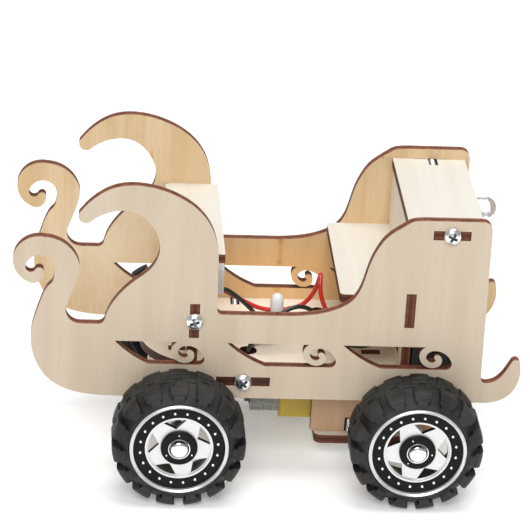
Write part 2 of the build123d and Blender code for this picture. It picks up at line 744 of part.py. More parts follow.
def battery_contacts():
    """Flat plates at the cells' plus ends and coned spring buttons at the minus ends."""
    contacts = []
    for index, (x, z) in enumerate(battery_centres()):
        side = 1 if index == 0 else -1
        low, high = sorted((side * 26.0, side * 26.5))
        contacts.append(box(x - 4, x + 4, low, high, z - 4, z + 4))
        plate_low, plate_high = sorted((side * -26.5, side * -26.1))
        plate = box(x - 4, x + 4, plate_low, plate_high, z - 4, z + 4)
        spring_low, spring_high = sorted((side * -26.1, side * -23.65))
        contacts.append(plate + along_y(x, z, 2.4, spring_low, spring_high))
    return group(contacts)


SWITCH_BACK_X = -14.2
SWITCH_FRONT_X = BULKHEAD_X - 1.5
ROCKER_X = -25.0             # hinge line of the rocker
ROCKER_TILT = 7.0            # from the middle to either end of its travel
TERMINAL_Y = (-7.6, -3.8)
TERMINAL_X_SPAN = (-18.4, -16.0)
TERMINAL_DROP = 2.0          # lugs under the switch body


def switch_body():
    """A white snap-in rocker switch body with its front flange."""
    body = box(BULKHEAD_X, SWITCH_BACK_X, SWITCH_Y - SWITCH_W / 2, SWITCH_Y + SWITCH_W / 2,
               SWITCH_Z - SWITCH_H / 2, SWITCH_Z + SWITCH_H / 2)
    flange = box(SWITCH_FRONT_X, BULKHEAD_X, SWITCH_Y - 7.5, SWITCH_Y + 7.5,
                 SWITCH_Z - 5.25, SWITCH_Z + 5.25)
    hollow = box(SWITCH_FRONT_X - 1, -19.0, SWITCH_Y - 5.6, SWITCH_Y + 5.6,
                 SWITCH_Z - 3.4, SWITCH_Z + 3.4)
    pivot = Pos(ROCKER_X, SWITCH_Y, SWITCH_Z) * Cylinder(0.8, 7.4)
    return body + flange - hollow + pivot


def switch_rocker():
    """The rocker: a block with a shallow V front that turns on the pivot."""
    face = make_face(
        Polyline(
            (-3.6, -4.9), (-2.4, 0), (-3.6, 4.9), (-1.2, 5.0), (1.8, 2.4), (1.8, -2.4),
            (-1.2, -5.0), close=True,
        )
    )
    block = Pos(0, 0, -3.2) * extrude(face, 6.4)
    block -= Cylinder(0.8 + RUN_GAP, 10)
    return Pos(ROCKER_X, SWITCH_Y, SWITCH_Z) * Rot(0, 0, -ROCKER_TILT) * block


def switch_terminals():
    top = SWITCH_Z - SWITCH_H / 2
    lugs = [box(*TERMINAL_X_SPAN, y - 0.4, y + 0.4, top - TERMINAL_DROP, top) for y in TERMINAL_Y]
    return group(lugs)


CAP_X, CAP_Y = 4.2, -5.5
CAP_Z = (46.3, 56.0)
CAP_R = 2.25


def wire_cap():
    """A milky nylon closed-end cap crimped over the joined leads; its mouth faces down."""
    cap = Pos(CAP_X, CAP_Y, CAP_Z[0]) * Cylinder(
        CAP_R, CAP_Z[1] - CAP_Z[0], align=(Align.CENTER, Align.CENTER, Align.MIN)
    )
    return fillet(cap.faces().sort_by(Axis.Z)[-1].edges(), 1.5)


def tail_lamp():
    """A clear domed lamp that plugs into the rear board."""
    x_face = REAR_BOARD_X + PLY
    stem = along_x(LAMP_Y, LAMP_Z, LAMP_R - 0.4, REAR_BOARD_X, x_face)
    barrel = along_x(LAMP_Y, LAMP_Z, LAMP_R, x_face, x_face + 5.0)
    dome = Pos(x_face + 5.0, LAMP_Y, LAMP_Z) * Sphere(LAMP_R)
    return stem + barrel + dome


def lamp_legs():
    legs = [along_x(LAMP_Y + dy, LAMP_Z, 0.25, 57.0, REAR_BOARD_X) for dy in (-1.27, 1.27)]
    return group(legs)


# ---- Leads: soft insulated wire, routes as lists of points ----
ROUTES = {
    "battery_lead_red": [
        (-17.2, -3.8, 58.4), (-14.2, -3.9, 56.6), (-10.6, -4.0, 54.4), (-6.2, -3.4, 51.8),
        (-2.1, -2.6, 49.4), (2.3, -2.0, 48.2), (7.3, -1.6, 48.4), (12.3, -1.2, 49.4),
        (15.4, -1.0, 52.4), (17.4, -0.8, 56.4), (18.4, -1.6, 62.2), (18.0, -5.4, 62.0),
        (18.0, -7.2, 57.2), (20.0, -8.8, 51.8), (24.6, -9.8, 45.2), (31.0, -10.2, 42.0),
        (39.2, -10.2, 45.0), (47.0, -10.2, 46.6),
    ],
    "battery_lead_black": [
        (47.0, -15.4, 46.4), (39.8, -15.4, 46.4), (34.0, -14.6, 41.6), (26.0, -11.0, 40.6),
        (20.2, -6.0, 44.8), (16.6, -5.8, 50.0), (12.2, -7.2, 52.6), (7.4, -9.2, 52.2),
        (3.2, -11.2, 49.2), (-1.0, -12.6, 45.4), (-4.6, -13.0, 41.0), (-5.6, -13.0, 34.0),
        (-7.4, -11.0, 27.4), (-9.2, -6.0, 21.0), (-8.6, -1.4, 17.0), (-5.6, 0.0, 15.4),
    ],
    "switch_lead_black": [
        (-17.2, -7.6, 58.6), (-13.2, -7.2, 58.4), (-9.6, -7.0, 55.6), (-6.4, -7.0, 53.0),
        (-3.4, -7.4, 50.0), (-0.6, -8.0, 46.0), (1.2, -7.6, 41.6), (3.4, -6.1, 41.2),
        (3.4, -5.6, 46.3),
    ],
    "motor_lead_black": [
        (5.2, -5.0, 46.3), (5.4, -4.4, 42.6), (3.0, -3.2, 40.5), (-0.6, -5.6, 40.2),
        (-3.6, -9.6, 40.2), (-5.2, -10.8, 34.2), (-8.4, -8.0, 31.4), (-9.0, -3.2, 31.2),
        (-5.6, 0.0, 31.4),
    ],
}


def corner_radii(points):
    radii = []
    for before, here, after in zip(points, points[1:], points[2:]):
        first = Vector(*here) - Vector(*before)
        second = Vector(*after) - Vector(*here)
        half_turn = math.radians(first.get_angle(second)) / 2
        radii.append(0.45 * min(first.length, second.length) / math.tan(half_turn))
    return radii


def lead(name):
    points = ROUTES[name]
    radii = corner_radii(points)
    path = FilletPolyline(*points, radius=radii)
    profile = Plane(origin=path @ 0, z_dir=path % 0) * Circle(LEAD_D / 2)
    tube = sweep(profile, path=path)
    expected = math.pi * (LEAD_D / 2) ** 2 * path.length
    ratio = tube.volume / expected
    print(name, "length", round(path.length, 1), "least radius", round(min(radii), 1),
          "volume ratio", round(ratio, 3))
    return tube


# ---- Write every node ----
os.makedirs("parts", exist_ok=True)

save("side_panel_left", side_panel(-OUTER_HALF))
save("side_panel_right", side_panel(INNER_HALF))
save("deck_plate", deck_plate())
save("front_bulkhead", front_bulkhead())
save("front_shelf", front_shelf())
save("seat_plate", seat_plate())
save("seat_backrest", seat_backrest())
save("roof_plate", roof_plate())
save("rear_board", rear_board())
save("motor_bracket_left", motor_bracket(-BRACKET_OUT))
save("motor_bracket_right", motor_bracket(BRACKET_IN))
save("motor_bracket_floor", motor_bracket_floor())
save("front_bracket_left", front_bracket(-BRACKET_OUT))
save("front_bracket_right", front_bracket(BRACKET_IN))
save("joint_screws", joint_screws())
save("axle_bushes", group([axle_bush(x, s) for x in (FRONT_X, REAR_X) for s in (-1, 1)]))

for place, x, phase in (("front", FRONT_X, FRONT_PHASE), ("rear", REAR_X, REAR_PHASE)):
    trims = []
    rivets = []
    for name, side in (("left", -1), ("right", 1)):
        save(f"{place}_{name}_rim", wheel_rim(x, side, phase))
        save(f"{place}_{name}_tyre", tyre(x, side))
        trims += wheel_trim(x, side)
        rivets += wheel_rivets(x, side, phase)
    save(f"{place}_wheel_trims", group(trims))
    save(f"{place}_wheel_rivets", group(rivets))
    save(f"{place}_hub_caps", group([hub_cap(x, side) for side in (-1, 1)]))
    save(f"{place}_axle", axle(x))

save("gearbox_shell_left", gearbox_shell(-1))
save("gearbox_shell_right", gearbox_shell(1))
save("gearbox_screws", gearbox_screws())
save("gear_pins", gear_pins())
save("crown_gear", crown_gear())
save("idler_gear", idler_gear())
save("output_gear", output_gear())
save("motor_can", motor_can())
save("motor_end_cap", motor_end_cap())
save("motor_strap", motor_strap())
save("motor_terminals", motor_terminals())
save("motor_magnets", motor_magnets())
save("motor_armature", motor_armature())
save("motor_pinion", motor_pinion())

save("battery_box", battery_box())
save("battery_cells", battery_cells())
save("battery_contacts", battery_contacts())
save("switch_body", switch_body())
save("switch_rocker", switch_rocker())
save("switch_terminals", switch_terminals())
save("wire_cap", wire_cap())
save("tail_lamp", tail_lamp())
save("lamp_legs", lamp_legs())
for lead_name in ROUTES:
    save(lead_name, lead(lead_name))
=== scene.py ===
import math

import bmesh
import bpy
from mathutils import Matrix, Vector


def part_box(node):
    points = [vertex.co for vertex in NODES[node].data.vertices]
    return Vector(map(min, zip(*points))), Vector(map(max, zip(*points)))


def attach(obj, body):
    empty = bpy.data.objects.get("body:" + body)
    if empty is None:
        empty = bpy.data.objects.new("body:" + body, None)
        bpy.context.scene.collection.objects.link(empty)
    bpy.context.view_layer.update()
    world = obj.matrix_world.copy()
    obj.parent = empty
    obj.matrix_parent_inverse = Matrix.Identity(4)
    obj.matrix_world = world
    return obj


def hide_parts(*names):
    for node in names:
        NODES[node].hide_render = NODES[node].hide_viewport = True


# A plywood sleigh car kit on four rubber tyres. Metres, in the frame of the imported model.
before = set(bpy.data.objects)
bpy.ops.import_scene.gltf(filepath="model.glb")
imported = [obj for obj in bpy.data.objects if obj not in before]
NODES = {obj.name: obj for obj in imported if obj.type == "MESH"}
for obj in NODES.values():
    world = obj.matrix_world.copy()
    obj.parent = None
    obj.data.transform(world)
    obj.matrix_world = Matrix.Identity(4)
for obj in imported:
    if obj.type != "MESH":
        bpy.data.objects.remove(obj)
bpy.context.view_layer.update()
MM = 0.001

# ---- Camera ----
CAMERA_AT = (-0.067754, -0.826283, 0.448718)
PITCH = 0.434822
YAW = 0.0818029
ROLL = 0.0580867
LENS_MM = 189.05
SENSOR_MM = 36.0


def make_camera():
    """A long lens above the car's left side, a little towards its front; angles are in radians."""
    data = bpy.data.cameras.new("camera")
    data.lens = LENS_MM
    data.sensor_width = SENSOR_MM
    data.clip_start = 0.01
    forward = Vector((math.sin(YAW) * math.cos(PITCH), math.cos(YAW) * math.cos(PITCH), -math.sin(PITCH)))
    level = Vector((math.cos(YAW), -math.sin(YAW), 0))
    lift = level.cross(forward)
    right = level * math.cos(ROLL) + lift * math.sin(ROLL)
    up = lift * math.cos(ROLL) - level * math.sin(ROLL)
    place = Matrix((right, up, -forward)).transposed().to_4x4()
    place.translation = Vector(CAMERA_AT)
    camera = bpy.data.objects.new("camera", data)
    camera.matrix_world = place
    bpy.context.scene.collection.objects.link(camera)
    bpy.context.scene.camera = camera


make_camera()


# ---- Leads, with the same route points as the model ----
LEAD_D = 1.5 * MM
# Node: length in metres, and the route's control points in millimetres.
LEAD_ROUTES = {
    "battery_lead_red": (0.0921, [
        (-17.2, -3.8, 58.4), (-14.2, -3.9, 56.6), (-10.6, -4, 54.4), (-6.2, -3.4, 51.8), (-2.1, -2.6, 49.4),
        (2.3, -2, 48.2), (7.3, -1.6, 48.4), (12.3, -1.2, 49.4), (15.4, -1, 52.4), (17.4, -0.8, 56.4),
        (18.4, -1.6, 62.2), (18, -5.4, 62), (18, -7.2, 57.2), (20, -8.8, 51.8), (24.6, -9.8, 45.2),
        (31, -10.2, 42), (39.2, -10.2, 45), (47, -10.2, 46.6),
    ]),
    "battery_lead_black": (0.0967, [
        (47, -15.4, 46.4), (39.8, -15.4, 46.4), (34, -14.6, 41.6), (26, -11, 40.6), (20.2, -6, 44.8),
        (16.6, -5.8, 50), (12.2, -7.2, 52.6), (7.4, -9.2, 52.2), (3.2, -11.2, 49.2), (-1, -12.6, 45.4),
        (-4.6, -13, 41), (-5.6, -13, 34), (-7.4, -11, 27.4), (-9.2, -6, 21), (-8.6, -1.4, 17),
        (-5.6, 0, 15.4),
    ]),
    "switch_lead_black": (0.0335, [
        (-17.2, -7.6, 58.6), (-13.2, -7.2, 58.4), (-9.6, -7, 55.6), (-6.4, -7, 53), (-3.4, -7.4, 50),
        (-0.6, -8, 46), (1.2, -7.6, 41.6), (3.4, -6.1, 41.2), (3.4, -5.6, 46.3),
    ]),
    "motor_lead_black": (0.0353, [
        (5.2, -5, 46.3), (5.4, -4.4, 42.6), (3, -3.2, 40.5), (-0.6, -5.6, 40.2), (-3.6, -9.6, 40.2),
        (-5.2, -10.8, 34.2), (-8.4, -8, 31.4), (-9, -3.2, 31.2), (-5.6, 0, 31.4),
    ]),
}


def make_lead(node, length, points):
    """A soft wire as one smooth spline, in place of its solid."""
    curve = bpy.data.curves.new(node + "_wire", "CURVE")
    curve.dimensions = "3D"
    curve.bevel_depth = 1.0  # the wire's radius is this times each point's radius
    curve.bevel_resolution = 4
    curve.resolution_u = 10
    curve.use_fill_caps = True
    spline = curve.splines.new("NURBS")
    spline.points.add(len(points) - 1)
    for control, point in zip(spline.points, points):
        control.co = (*[value * MM for value in point], 1.0)
        control.radius = LEAD_D / 2
    spline.order_u = 3
    spline.use_endpoint_u = True
    wire = bpy.data.objects.new(node + "_wire", curve)
    bpy.context.scene.collection.objects.link(wire)
    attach(wire, "chassis")
    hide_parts(node)
    return wire


leads = {node: make_lead(node, *facts) for node, facts in LEAD_ROUTES.items()}


# ---- Node helpers ----
def new_material(name, constants):
    """A material whose shader holds these constant values; returns it, its tree and the shader."""
    material = bpy.data.materials.new(name)
    material.use_nodes = True
    shader = material.node_tree.nodes["Principled BSDF"]
    for socket, value in constants.items():
        shader.inputs[socket].default_value = value
    return material, material.node_tree, shader


def place_coordinates(tree):
    """The object's own coordinates, in metres."""
    return tree.nodes.new("ShaderNodeTexCoord").outputs["Object"]


def noise(tree, scale, detail=3.0, offset=(0, 0, 0), roughness=0.55):
    """Noise over the object's own coordinates; scale is waves per metre along x, y and z."""
    mapping = tree.nodes.new("ShaderNodeMapping")
    mapping.inputs["Scale"].default_value = scale
    mapping.inputs["Location"].default_value = offset
    tree.links.new(place_coordinates(tree), mapping.inputs["Vector"])
    texture = tree.nodes.new("ShaderNodeTexNoise")
    texture.inputs["Scale"].default_value = 1.0
    texture.inputs["Detail"].default_value = detail
    texture.inputs["Roughness"].default_value = roughness
    tree.links.new(mapping.outputs["Vector"], texture.inputs["Vector"])
    return texture.outputs["Fac"]


def ramp(tree, source, stops, smooth=True):
    """Colours along a 0 to 1 value; each stop is (position, (r, g, b))."""
    node = tree.nodes.new("ShaderNodeValToRGB")
    node.color_ramp.interpolation = "EASE" if smooth else "LINEAR"
    elements = node.color_ramp.elements
    while len(elements) < len(stops):
        elements.new(0.5)
    for element, (position, colour) in zip(elements, stops):
        element.position = position
        element.color = (*colour, 1.0)
    tree.links.new(source, node.inputs["Fac"])
    return node.outputs["Color"]


def grey(tree, source, low, high, start=0.0, end=1.0):
    """A value that runs from low to high as source goes from start to end."""
    node = tree.nodes.new("ShaderNodeMapRange")
    node.inputs["From Min"].default_value = start
    node.inputs["From Max"].default_value = end
    node.inputs["To Min"].default_value = low
    node.inputs["To Max"].default_value = high
    tree.links.new(source, node.inputs["Value"])
    return node.outputs["Result"]


MIX_FACTOR, MIX_FIRST, MIX_SECOND = 0, 6, 7     # the colour sockets of a Mix node
MIX_RESULT = 2


def mixed(tree, factor, first, second):
    """A blend of two colours, either of which may be a socket; factor is a socket."""
    node = tree.nodes.new("ShaderNodeMix")
    node.data_type = "RGBA"
    tree.links.new(factor, node.inputs[MIX_FACTOR])
    for source, socket in ((first, node.inputs[MIX_FIRST]), (second, node.inputs[MIX_SECOND])):
        if isinstance(source, tuple):
            socket.default_value = (*source, 1.0)
        else:
            tree.links.new(source, socket)
    return node.outputs[MIX_RESULT]


def calculate(tree, operation, first, second=None):
    """A Math node's result; first and second are sockets or numbers."""
    node = tree.nodes.new("ShaderNodeMath")
    node.operation = operation
    for source, socket in ((first, node.inputs[0]), (second, node.inputs[1])):
        if source is None:
            continue
        if isinstance(source, (int, float)):
            socket.default_value = source
        else:
            tree.links.new(source, socket)
    return node.outputs[0]


def add_bump(tree, shader, height, strength, distance):
    """Bumps the surface by a height source; distance is in metres."""
    node = tree.nodes.new("ShaderNodeBump")
    node.inputs["Strength"].default_value = strength
    node.inputs["Distance"].default_value = distance
    tree.links.new(height, node.inputs["Height"])
    tree.links.new(node.outputs["Normal"], shader.inputs["Normal"])


def split(tree, vector):
    """The x, y and z sockets of a vector."""
    node = tree.nodes.new("ShaderNodeSeparateXYZ")
    tree.links.new(vector, node.inputs["Vector"])
    return node.outputs


def spread(axis, along, across):
    """A scale triple: one value along an axis and another across it."""
    return tuple(along if index == axis else across for index in range(3))


# ---- Plywood ----
X, Y, Z = 0, 1, 2
# Face tones: the light and the dark of the grain.
PALE = ((0.575, 0.480, 0.370), (0.525, 0.428, 0.320))
CREAM = ((0.715, 0.685, 0.615), (0.675, 0.63, 0.545))
# Paler than the birch itself, for the boards inside the car: painted light that lifts the shade they sit in.
PAINTED_LIGHT_TONE = ((0.90, 0.815, 0.70), (0.85, 0.75, 0.62))
# Orange wood for the far panel's inside: its own warm tone plus painted bounce light from the boards round
# it.
WARM_WITH_PAINTED_BOUNCE = ((0.71, 0.535, 0.335), (0.61, 0.42, 0.225))
TAN = ((0.66, 0.45, 0.28), (0.57, 0.37, 0.225))
# Edge tones: outer plies, core and glue lines.
TOASTED = ((0.310, 0.125, 0.073), (0.150, 0.050, 0.028), (0.075, 0.024, 0.014))
# Near black for the deck's edges: the laser burn plus painted shade, as these edges sit in shadow.
CHARRED_WITH_PAINTED_SHADE = ((0.075, 0.024, 0.012), (0.045, 0.013, 0.007), (0.025, 0.007, 0.004))
BURNT = ((0.165, 0.054, 0.026), (0.085, 0.023, 0.011), (0.040, 0.011, 0.006))
SOOT = (0.05, 0.018, 0.012)
KNOT = (0.56, 0.27, 0.07)
# Laser smoke, deepened by painted bounce light off the boards round it.
SMOKE_AND_PAINTED_BOUNCE = (0.84, 0.49, 0.20)
FADED = (0.80, 0.68, 0.50)
FACE_LIMIT = 0.8             # how square to the board a surface must be to count as its face


def plywood(node, flat_axis, grain_axis, tone, edge_tone=BURNT, patches=()):
    """Three-ply birch: grained faces, and laser-burnt edges that show the plies.

    flat_axis is square to the board and grain_axis runs along its grain.
    """
    light, dark = tone
    ply, core, glue = edge_tone
    low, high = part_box(node)
    material, tree, shader = new_material(node + "_plywood", {"Specular IOR Level": 0.25})
    # An offset from the board's own corner, so that no two boards share their grain.
    seed = tuple(7.0 * value for value in (low[0] * 90, low[1] * 70, low[2] * 50))
    fibres = noise(tree, spread(grain_axis, 55, 1500), 4.0, seed, 0.65)
    bands = noise(tree, spread(grain_axis, 9, 150), 2.0, seed)
    clouds = noise(tree, (38, 38, 38), 2.0, seed)
    pores = noise(tree, spread(grain_axis, 260, 3600), 1.0, seed)
    face = ramp(tree, bands, [(0.30, dark), (0.66, light)])
    face = mixed(tree, grey(tree, fibres, 0.0, 0.6, 0.42, 0.72), face, dark)
    face = mixed(tree, grey(tree, clouds, 0.0, 0.35, 0.45, 0.7), face, light)
    pore = tuple(0.55 * value for value in dark)
    face = mixed(tree, grey(tree, pores, 0.0, 0.30, 0.66, 0.80), face, pore)
    for colour, strength, place in patches:
        face = mixed(tree, patch_mask(tree, strength, *place), face, colour)

    depth = split(tree, place_coordinates(tree))[flat_axis]
    depth = grey(tree, depth, 0.0, 1.0, low[flat_axis], high[flat_axis])
    plies = ramp(tree, depth, [
        (0.0, core), (0.06, ply), (0.28, ply), (0.34, glue), (0.40, core),
        (0.62, core), (0.67, glue), (0.74, ply), (0.94, ply), (1.0, core),
    ], smooth=False)
    scorch = noise(tree, (420, 420, 420), 3.0, seed)
    edge = mixed(tree, grey(tree, scorch, 0.0, 0.75, 0.40, 0.72), plies, SOOT)
    strokes = noise(tree, spread(flat_axis, 120, 2600), 2.0, seed)
    edge = mixed(tree, grey(tree, strokes, 0.0, 0.4, 0.45, 0.7), edge, ply)

    coordinates = tree.nodes.new("ShaderNodeTexCoord")
    facing = calculate(tree, "ABSOLUTE", split(tree, coordinates.outputs["Normal"])[flat_axis])
    is_face = calculate(tree, "GREATER_THAN", facing, FACE_LIMIT)
    tree.links.new(mixed(tree, is_face, edge, face), shader.inputs["Base Color"])
    tree.links.new(grey(tree, fibres, 0.52, 0.72, 0.3, 0.7), shader.inputs["Roughness"])
    relief = calculate(tree, "ADD", fibres, calculate(tree, "MULTIPLY", pores, -0.5))
    add_bump(tree, shader, relief, 0.35, 0.00006)
    return material


def patch_mask(tree, strength, x, z, half_x, half_z):
    """The strength at a point in x and z, falling away to 0 over a half width and a half height, in mm."""
    parts = split(tree, place_coordinates(tree))
    squares = []
    for value, centre, reach in ((parts[X], x, half_x), (parts[Z], z, half_z)):
        share = calculate(tree, "DIVIDE", calculate(tree, "SUBTRACT", value, centre * MM), reach * MM)
        squares.append(calculate(tree, "MULTIPLY", share, share))
    distance = calculate(tree, "SQRT", calculate(tree, "ADD", *squares))
    wobble = calculate(tree, "ADD", distance, grey(tree, noise(tree, (700, 700, 160)), -0.4, 0.4))
    return grey(tree, wobble, strength, 0.0, 0.15, 1.1)


# Stains, knots and a smoky orange patch on the right side panel, the patch partly painted bounce light:
# colour, strength, and centre and half sizes in x and z.
RIGHT_PATCHES = [
    (FADED, 0.7, (-50.0, 58.0, 26.0, 26.0)),
    (SMOKE_AND_PAINTED_BOUNCE, 0.75, (14.0, 48.0, 62.0, 19.0)),
    (KNOT, 0.85, (7.3, 59.6, 1.4, 1.7)),
    (KNOT, 0.50, (7.3, 56.0, 0.9, 6.5)),
    (KNOT, 0.80, (7.2, 51.8, 1.3, 1.5)),
    (KNOT, 0.60, (7.0, 41.5, 1.3, 1.3)),
    (KNOT, 0.75, (-37.6, 89.4, 0.9, 3.2)),
    (KNOT, 0.60, (39.5, 91.5, 1.0, 1.0)),
]
# Flat axis, grain axis, face tone and, where it isn't BURNT, edge tone.
BOARDS = {
    "side_panel_left": (Y, Z, PALE, TOASTED),
    "side_panel_right": (Y, Z, WARM_WITH_PAINTED_BOUNCE, TOASTED, RIGHT_PATCHES),
    "deck_plate": (Z, Y, PAINTED_LIGHT_TONE, CHARRED_WITH_PAINTED_SHADE),
    "front_bulkhead": (X, Z, PAINTED_LIGHT_TONE),
    "front_shelf": (Z, Y, CREAM),
    "seat_plate": (Z, Y, CREAM),
    "seat_backrest": (X, Z, PAINTED_LIGHT_TONE),
    "roof_plate": (Z, Y, CREAM),
    "rear_board": (X, Z, PALE),
    "motor_bracket_left": (Y, Z, TAN),
    "motor_bracket_right": (Y, Z, TAN),
    "motor_bracket_floor": (Z, X, CREAM),
    "front_bracket_left": (Y, Z, PAINTED_LIGHT_TONE),
    "front_bracket_right": (Y, Z, PAINTED_LIGHT_TONE),
}


def paint(obj, material):
    """Gives every slot of an object this material."""
    if not obj.data.materials:
        obj.data.materials.append(material)
    for index in range(len(obj.material_slots)):
        obj.material_slots[index].material = material


for board, facts in BOARDS.items():
    paint(NODES[board], plywood(board, *facts))


# ---- Other materials ----
def rubber():
    """Matt black rubber with a little dust."""
    material, tree, shader = new_material("tyre_rubber", {"Specular IOR Level": 0.24})
    grain = noise(tree, (2600, 2600, 2600), 3.0)
    dust = noise(tree, (120, 120, 120), 3.0)
    colour = ramp(tree, dust, [(0.35, (0.014, 0.0138, 0.0134)), (0.72, (0.036, 0.0340, 0.0315))])
    tree.links.new(colour, shader.inputs["Base Color"])
    tree.links.new(grey(tree, dust, 0.42, 0.66, 0.3, 0.7), shader.inputs["Roughness"])
    add_bump(tree, shader, grain, 0.25, 0.00005)
    return material


def metal(name, colour, low, high, scale=(900, 900, 900), bump=0.08):
    """A bare or plated metal with fine streaks in its polish."""
    material, tree, shader = new_material(name, {"Metallic": 1.0})
    streaks = noise(tree, scale, 3.0)
    stain = noise(tree, (90, 90, 90), 2.0)
    darker = tuple(0.82 * value for value in colour)
    tree.links.new(ramp(tree, stain, [(0.3, darker), (0.62, colour)]), shader.inputs["Base Color"])
    tree.links.new(grey(tree, streaks, low, high, 0.3, 0.7), shader.inputs["Roughness"])
    add_bump(tree, shader, streaks, bump, 0.00003)
    return material


def plastic(name, colour, low, high, extra=None, grain=1400, bump=0.1):
    """A moulded plastic with a faint texture and slight unevenness of colour."""
    material, tree, shader = new_material(name, extra or {})
    texture = noise(tree, (grain, grain, grain), 3.0)
    cloud = noise(tree, (70, 70, 70), 2.0)
    darker = tuple(0.86 * value for value in colour)
    tree.links.new(ramp(tree, cloud, [(0.3, darker), (0.65, colour)]), shader.inputs["Base Color"])
    tree.links.new(grey(tree, texture, low, high, 0.3, 0.7), shader.inputs["Roughness"])
    add_bump(tree, shader, texture, bump, 0.00004)
    return material


PLATED_FROM = 48.2 * MM      # surfaces nearer the car than this are bare black plastic


def plated_rim():
    """Bright plated face with a fine sparkle; the barrel and spoke walls are bare black."""
    material, tree, shader = new_material("plated_rim_finish", {})
    sparkle = noise(tree, (2400, 2400, 2400), 2.0)
    cloud = noise(tree, (160, 160, 160), 2.0)
    colour = ramp(tree, sparkle, [(0.28, (0.60, 0.605, 0.61)), (0.50, (0.70, 0.70, 0.705))])
    reach = calculate(tree, "ABSOLUTE", split(tree, place_coordinates(tree))[Y])
    plated = calculate(tree, "GREATER_THAN", reach, PLATED_FROM)
    tree.links.new(mixed(tree, plated, (0.012, 0.012, 0.012), colour), shader.inputs["Base Color"])
    tree.links.new(calculate(tree, "MULTIPLY", plated, 0.6), shader.inputs["Metallic"])
    tree.links.new(grey(tree, cloud, 0.26, 0.42, 0.3, 0.7), shader.inputs["Roughness"])
    add_bump(tree, shader, sparkle, 0.12, 0.00004)
    return material


RUBBER = rubber()
RIM = plated_rim()
CHROME = metal("bright_chrome", (0.93, 0.935, 0.94), 0.05, 0.14)
ZINC = metal("zinc_plate", (0.83, 0.85, 0.87), 0.16, 0.34, bump=0.15)
STEEL = metal("drawn_steel", (0.62, 0.63, 0.65), 0.22, 0.40, (3000, 60, 3000))
CAN_STEEL = metal("motor_can_steel", (0.58, 0.59, 0.58), 0.26, 0.44, (60, 2400, 2400))
BRASS = metal("brass_lug", (0.78, 0.60, 0.27), 0.22, 0.40)
FERRITE = plastic("ferrite_magnet", (0.05, 0.05, 0.055), 0.6, 0.8, grain=3000, bump=0.3)
NYLON = plastic("white_nylon", (0.80, 0.80, 0.77), 0.32, 0.48, {"Subsurface Weight": 0.2})
YELLOW = plastic("yellow_case", (0.60, 0.42, 0.035), 0.34, 0.50)
BLACK = plastic("black_moulding", (0.022, 0.022, 0.022), 0.34, 0.52)
ENAMEL = plastic("black_enamel", (0.005, 0.005, 0.005), 0.22, 0.42, {"Specular IOR Level": 0.14}, 2600, 0.25)
# A darker zinc for the cross recesses' walls: painted shade.
RECESS_PAINTED_SHADE = metal("screw_recess_painted_shade", (0.33, 0.335, 0.34), 0.35, 0.55)
SLEEVE = plastic("cell_sleeve", (0.07, 0.085, 0.12), 0.22, 0.36)
RED_PVC = plastic("red_pvc", (0.62, 0.022, 0.018), 0.20, 0.34, {"Coat Weight": 0.25}, 900, 0.08)
BLACK_PVC = plastic("black_pvc", (0.016, 0.016, 0.016), 0.20, 0.34, {"Coat Weight": 0.25}, 900, 0.08)
MILKY_SHADER = {"Subsurface Weight": 0.3, "Transmission Weight": 0.08}
MILKY = plastic("milky_nylon", (0.94, 0.905, 0.90), 0.30, 0.42, MILKY_SHADER)
COLLAR_SHADER = {"Transmission Weight": 0.6, "IOR": 1.45}
COLLAR = plastic("clear_collar", (0.52, 0.54, 0.48), 0.14, 0.30, COLLAR_SHADER, 700, 0.08)
LENS_SHADER = {"Transmission Weight": 0.92, "IOR": 1.49}
CLEAR = plastic("clear_lens", (0.93, 0.95, 0.96), 0.03, 0.10, LENS_SHADER, 500, 0.04)

FINISHES = {
    "gearbox_screws": ZINC, "battery_contacts": ZINC, "lamp_legs": ZINC,
    "axle_bushes": NYLON, "crown_gear": NYLON, "idler_gear": NYLON, "output_gear": NYLON,
    "motor_pinion": NYLON, "switch_body": NYLON, "front_axle": STEEL, "rear_axle": STEEL,
    "gear_pins": STEEL, "motor_armature": STEEL, "gearbox_shell_left": YELLOW,
    "gearbox_shell_right": YELLOW, "motor_can": CAN_STEEL, "motor_end_cap": BLACK,
    "motor_strap": COLLAR, "motor_terminals": BRASS, "switch_terminals": BRASS,
    "motor_magnets": FERRITE,
    "battery_box": BLACK, "switch_rocker": BLACK, "battery_cells": SLEEVE, "tail_lamp": CLEAR,
    "front_wheel_trims": ENAMEL, "rear_wheel_trims": ENAMEL,
    "front_left_rim": RIM, "front_right_rim": RIM, "rear_left_rim": RIM, "rear_right_rim": RIM,
}
for node, finish in FINISHES.items():
    paint(NODES[node], finish)
for node, wire in leads.items():
    wire.data.materials.append(RED_PVC if "red" in node else BLACK_PVC)


# ---- Mesh helpers ----
def finish_mesh(mesh_name, bm, body, material, smooth_angle=0.6):
    """Turns a bmesh into a piece that rides on a body; smooth_angle is in radians."""
    bmesh.ops.recalc_face_normals(bm, faces=bm.faces)
    mesh = bpy.data.meshes.new(mesh_name)
    bm.to_mesh(mesh)
    bm.free()
    piece = bpy.data.objects.new(mesh_name, mesh)
    bpy.context.scene.collection.objects.link(piece)
    for polygon in mesh.polygons:
        polygon.use_smooth = True
    mesh.set_sharp_from_angle(angle=smooth_angle)
    mesh.materials.append(material)
    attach(piece, body)
    return piece


ON_AXIS = 1e-7               # a smaller radius than this is a point on the axis


